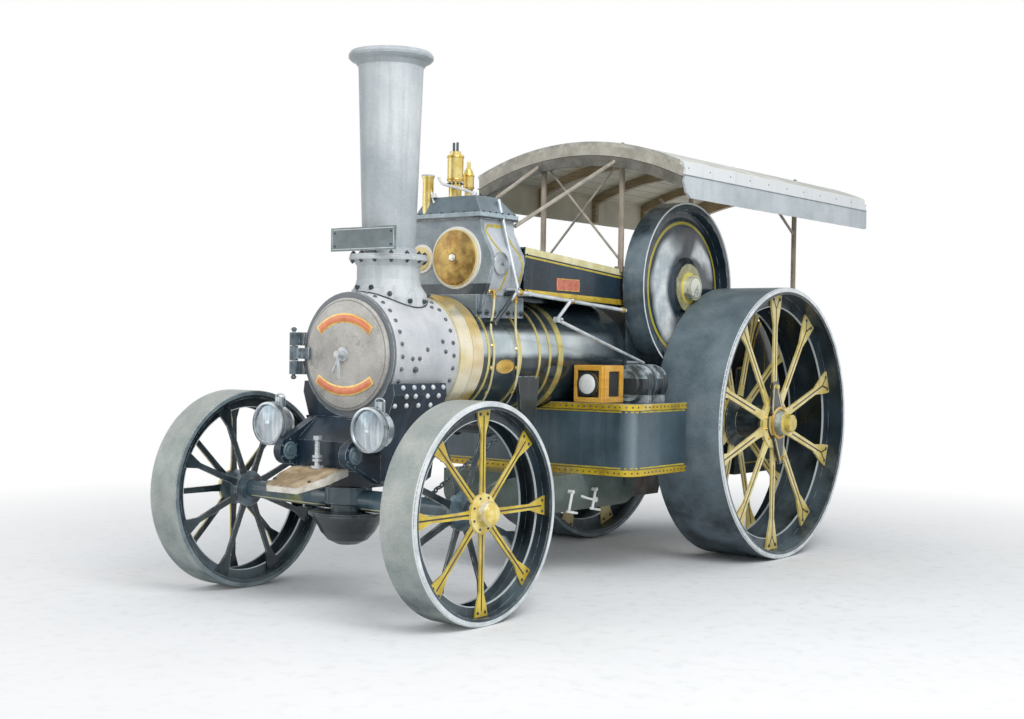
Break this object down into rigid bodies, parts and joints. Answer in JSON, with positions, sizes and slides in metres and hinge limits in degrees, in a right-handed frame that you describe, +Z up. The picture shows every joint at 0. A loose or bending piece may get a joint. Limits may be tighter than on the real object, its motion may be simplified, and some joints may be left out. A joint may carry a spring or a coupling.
{
  "type": "steam traction engine",
  "caption": "Steam road locomotive with spoked wheels, a tall chimney, horizontal boiler, flywheel, side tanks and an arched canopy over the footplate.",
  "frame": {"origin": "on the floor at the centre of the overall box", "axes": "+Z up, -Y forwards, +X towards the engine's left, which is the flywheel side"},
  "size_m": [2.468, 6.279, 3.525],
  "materials": {
    "tyre_grey": "dusty solid tyre",
    "rim_black": "gloss paint",
    "spoke_yellow": "gloss paint with dark lines",
    "axle_black": "gloss paint",
    "smokebox_grey": "heat-dulled paint",
    "door_taupe": "dull paint",
    "chimney_grey": "dull paint",
    "plate_slate": "dull paint",
    "boiler_navy": "gloss paint",
    "brass": "polished",
    "cylinder_slate": "gloss paint",
    "hood_slate": "gloss paint",
    "motion_navy": "gloss paint, lined",
    "firebox_black": "dull paint",
    "horn_navy": "gloss paint",
    "steel": "bright",
    "flywheel_slate": "gloss paint",
    "tank_slate": "gloss paint",
    "belly_green": "dull paint",
    "lamp_silver": "satin",
    "lamp_orange": "varnished",
    "hose_black": "ribbed",
    "tender_navy": "gloss paint",
    "board_brown": "worn",
    "roof_plank": "planked",
    "fascia_pale": "satin paint",
    "rib_brown": "painted",
    "post_brown": "satin paint",
    "steering_black": "gloss paint",
    "chain_iron": "oiled"
  },
  "bodies": {
    "engine": {"smokebox": "smokebox_grey", "smokebox_inside": "firebox_black", "chimney_saddle": "chimney_grey", "chimney": "chimney_grey", "number_board": "plate_slate", "boiler_barrel": "boiler_navy", "boiler_bands": "brass", "cylinder_block": "cylinder_slate", "cylinder_cover": "brass", "cylinder_hood": "hood_slate", "safety_valves": "brass", "whistle": "brass", "lubricator": "brass", "motion_case": "motion_navy", "firebox": "firebox_black", "hornplates": "horn_navy", "gear_guard": "horn_navy", "rear_axle": "steel", "tender": "tender_navy", "footplate": "steel", "drawbar": "axle_black", "side_tanks": "tank_slate", "tank_beading": "brass", "belly_tank": "belly_green", "tank_lamps": "lamp_orange", "suction_hose": "hose_black", "canopy_roof": "roof_plank", "canopy_fascia": "fascia_pale", "canopy_ribs": "rib_brown", "canopy_posts": "post_brown", "canopy_stays": "post_brown", "control_rods": "steel", "steering_brackets": "steering_black", "steering_chains": "chain_iron", "brake_column": "steering_black", "perch_bracket": "axle_black", "footboard": "board_brown", "draw_pin": "steel", "head_lamps": "lamp_silver", "drain_cocks": "steel"},
    "front_axle": {"front_axle": "axle_black"},
    "crankshaft": {"crankshaft": "steel", "flywheel": "flywheel_slate"},
    "smokebox_door": {"smokebox_door": "door_taupe", "door_fittings": "steel"},
    "chain_barrel": {"chain_barrel": "steering_black"},
    "steering_wheel": {"steering_wheel": "steering_black"},
    "front_wheel_left": {"front_tyre_left": "tyre_grey", "front_rim_left": "rim_black", "front_spokes_left": "spoke_yellow"},
    "rear_wheel_left": {"rear_tyre_left": "tyre_grey", "rear_rim_left": "rim_black", "rear_spokes_left": "spoke_yellow"},
    "front_wheel_right": {"front_tyre_right": "tyre_grey", "front_rim_right": "rim_black", "front_spokes_right": "spoke_yellow"},
    "rear_wheel_right": {"rear_tyre_right": "tyre_grey", "rear_rim_right": "rim_black", "rear_spokes_right": "spoke_yellow"}
  },
  "joints": [
    {"name": "steer", "type": "hinge", "parent": "engine", "child": "front_axle", "pos_m": [0, -2.4795, 0.66], "axis": [0, 0, 1], "range_deg": [-20, 20], "deforming": ["steering_chains"]},
    {"name": "front_left_roll", "type": "hinge", "parent": "front_axle", "child": "front_wheel_left", "pos_m": [1.01, -2.4795, 0.66], "axis": [1, 0, 0], "continuous": true},
    {"name": "rear_left_roll", "type": "hinge", "parent": "engine", "child": "rear_wheel_left", "pos_m": [0.89, 1.2205, 1.067], "axis": [1, 0, 0], "continuous": true},
    {"name": "front_right_roll", "type": "hinge", "parent": "front_axle", "child": "front_wheel_right", "pos_m": [-1.01, -2.4795, 0.66], "axis": [1, 0, 0], "continuous": true},
    {"name": "rear_right_roll", "type": "hinge", "parent": "engine", "child": "rear_wheel_right", "pos_m": [-0.89, 1.2205, 1.067], "axis": [1, 0, 0], "continuous": true},
    {"name": "crank_turn", "type": "hinge", "parent": "engine", "child": "crankshaft", "pos_m": [0, 0.6695, 2.115], "axis": [1, 0, 0], "continuous": true},
    {"name": "door_swing", "type": "hinge", "parent": "engine", "child": "smokebox_door", "pos_m": [-0.446, -2.5415, 1.576], "axis": [0, 0, 1], "range_deg": [-100, 0]},
    {"name": "barrel_turn", "type": "hinge", "parent": "engine", "child": "chain_barrel", "pos_m": [0, -1.0795, 1.07], "axis": [1, 0, 0], "range_deg": [-160, 160]},
    {"name": "handwheel_turn", "type": "hinge", "parent": "engine", "child": "steering_wheel", "pos_m": [-0.43, 1.3205, 1.95], "axis": [0, 0.953, 0.3031], "range_deg": [-1280, 1280]}
  ],
  "couplings": [
    {"joint": "barrel_turn", "follows": "steer", "ratio": 8},
    {"joint": "handwheel_turn", "follows": "steer", "ratio": 64}
  ]
}
